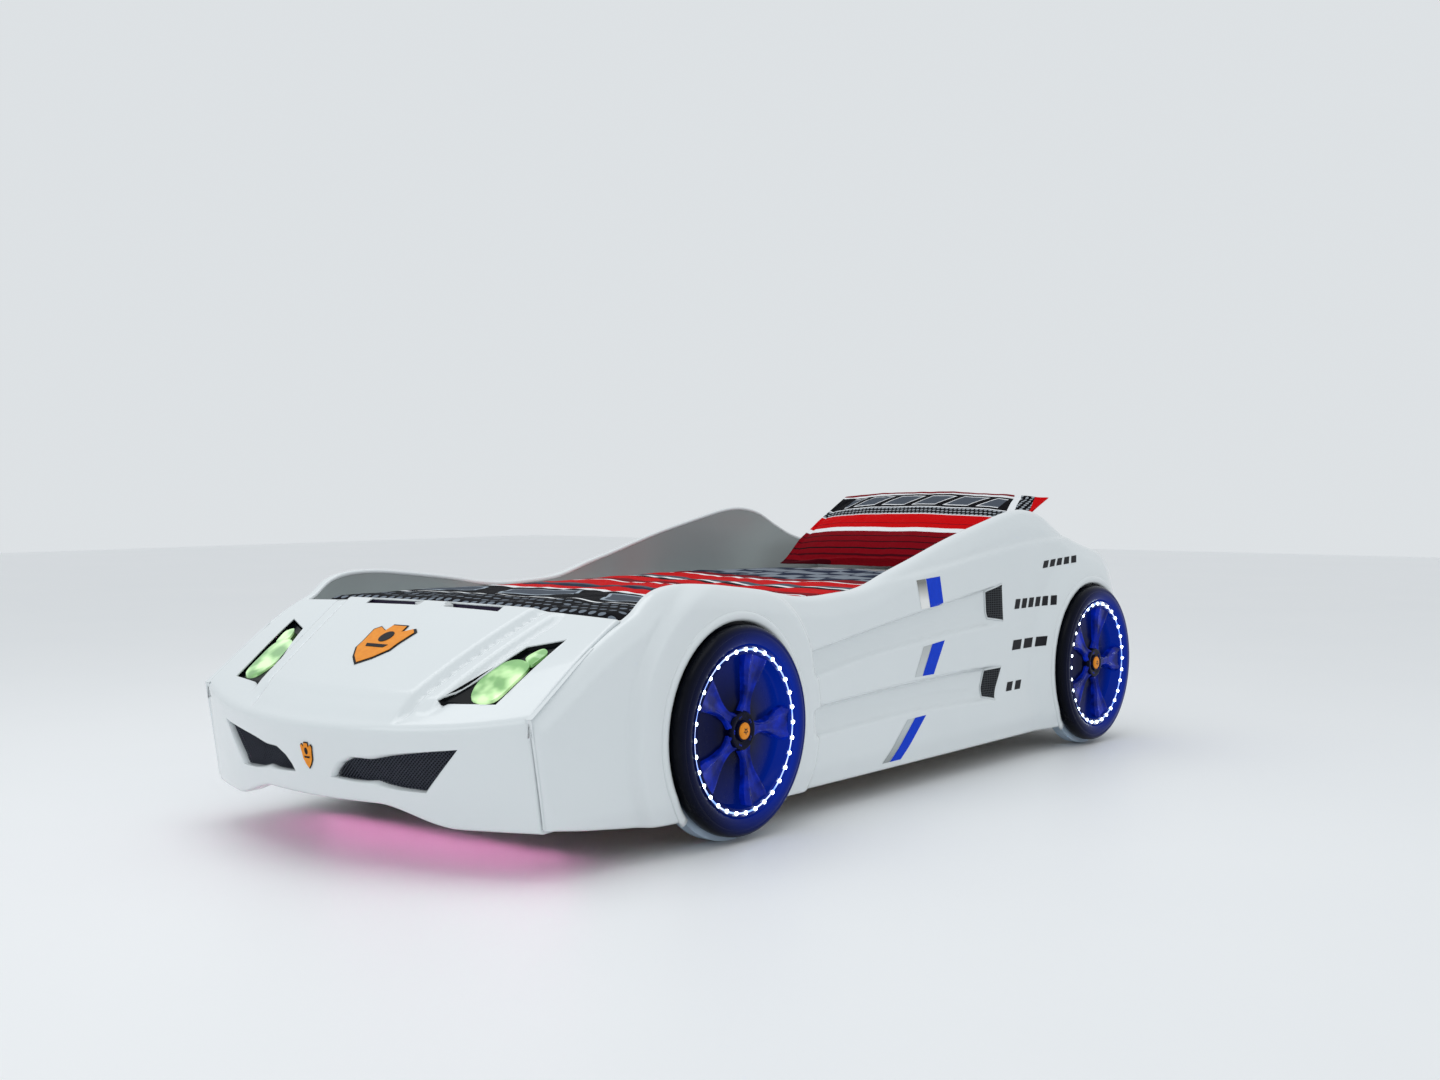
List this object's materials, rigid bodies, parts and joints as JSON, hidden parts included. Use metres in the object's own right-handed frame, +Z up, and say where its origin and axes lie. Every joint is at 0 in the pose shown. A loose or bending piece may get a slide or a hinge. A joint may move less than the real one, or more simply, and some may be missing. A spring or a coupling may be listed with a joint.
{
  "type": "race-car bed",
  "caption": "Race-car bed: sculpted shells around a slatted box with light-ringed wheels, headlights, mattress, duvet and pillow.",
  "frame": {"origin": "on the floor, at the middle of the bed's overall length and width", "axes": "+X to the car's left, -Y towards the nose, +Y towards the head end, +Z up"},
  "size_m": [1.092, 2.5302, 0.7117],
  "materials": {
    "shell": "high gloss white moulded plastic",
    "board": "pale grey melamine-faced chipboard",
    "slat_wood": "bare pine",
    "drum": "satin pale blue-white plastic",
    "tyre": "glossy black moulded plastic",
    "rim": "deep blue translucent-looking plastic",
    "led_ring": "glowing white-blue light ring",
    "hub_cap": "orange domed cap",
    "black_trim": "black moulded plastic",
    "headlight_lens": "glowing pale green diffuser",
    "led_board": "white circuit board",
    "decal": "printed vinyl",
    "badge": "printed domed badge",
    "underglow": "light strip",
    "box_plastic": "fine textured plastic",
    "rocker": "red rocker",
    "inlet": "plated socket",
    "cable": "soft black cable jacket",
    "zinc": "bright zinc",
    "foot_plastic": "black plastic",
    "mattress": "white quilted cover",
    "duvet": "printed cotton with racing pattern",
    "pillow": "printed cotton with racing pattern"
  },
  "bodies": {
    "bed": {"assembly_screws": "zinc", "centre_beam": "slat_wood", "centre_feet": "foot_plastic", "control_box": "box_plastic", "control_box_lid": "box_plastic", "corner_brackets": "zinc", "foot_board": "board", "front_panel": "shell", "head_board": "board", "headlight_boards": "led_board", "hood_badge": "badge", "hood_vents": "black_trim", "left_decals": "decal", "left_front_drum": "drum", "left_front_grille": "black_trim", "left_front_hub_cap": "hub_cap", "left_front_led_ring": "led_ring", "left_front_rim": "rim", "left_front_tyre": "tyre", "left_headlight_housing": "black_trim", "left_headlight_lens": "headlight_lens", "left_rear_drum": "drum", "left_rear_hub_cap": "hub_cap", "left_rear_led_ring": "led_ring", "left_rear_rim": "rim", "left_rear_tyre": "tyre", "left_side_board": "board", "left_side_grilles": "black_trim", "left_side_panel": "shell", "left_slat_rail": "slat_wood", "nose_badge": "badge", "power_inlet": "inlet", "rear_panel": "shell", "right_decals": "decal", "right_front_drum": "drum", "right_front_grille": "black_trim", "right_front_hub_cap": "hub_cap", "right_front_led_ring": "led_ring", "right_front_rim": "rim", "right_front_tyre": "tyre", "right_headlight_housing": "black_trim", "right_headlight_lens": "headlight_lens", "right_rear_drum": "drum", "right_rear_hub_cap": "hub_cap", "right_rear_led_ring": "led_ring", "right_rear_rim": "rim", "right_rear_tyre": "tyre", "right_side_board": "board", "right_side_grilles": "black_trim", "right_side_panel": "shell", "right_slat_rail": "slat_wood", "slats": "slat_wood", "underglow_strips": "underglow", "wheel_bolts": "zinc", "wiring_harness": "cable"},
    "mattress": {"mattress": "mattress"},
    "duvet": {"duvet": "duvet"},
    "pillow": {"pillow": "pillow"},
    "switch": {"rocker_switch": "rocker"}
  },
  "joints": [
    {"name": "mattress_lift", "type": "slide", "parent": "bed", "child": "mattress", "axis": [0, 0, 1], "range_m": [0, 0.45]},
    {"name": "duvet_lift", "type": "slide", "parent": "mattress", "child": "duvet", "axis": [0, 0, 1], "range_m": [0, 0.3]},
    {"name": "pillow_lift", "type": "slide", "parent": "duvet", "child": "pillow", "axis": [0, 0, 1], "range_m": [0, 0.3]},
    {"name": "switch_rock", "type": "hinge", "parent": "bed", "child": "switch", "pos_m": [0.27, 1.077, 0.16], "axis": [1, 0, 0], "range_deg": [-8, 8]}
  ]
}
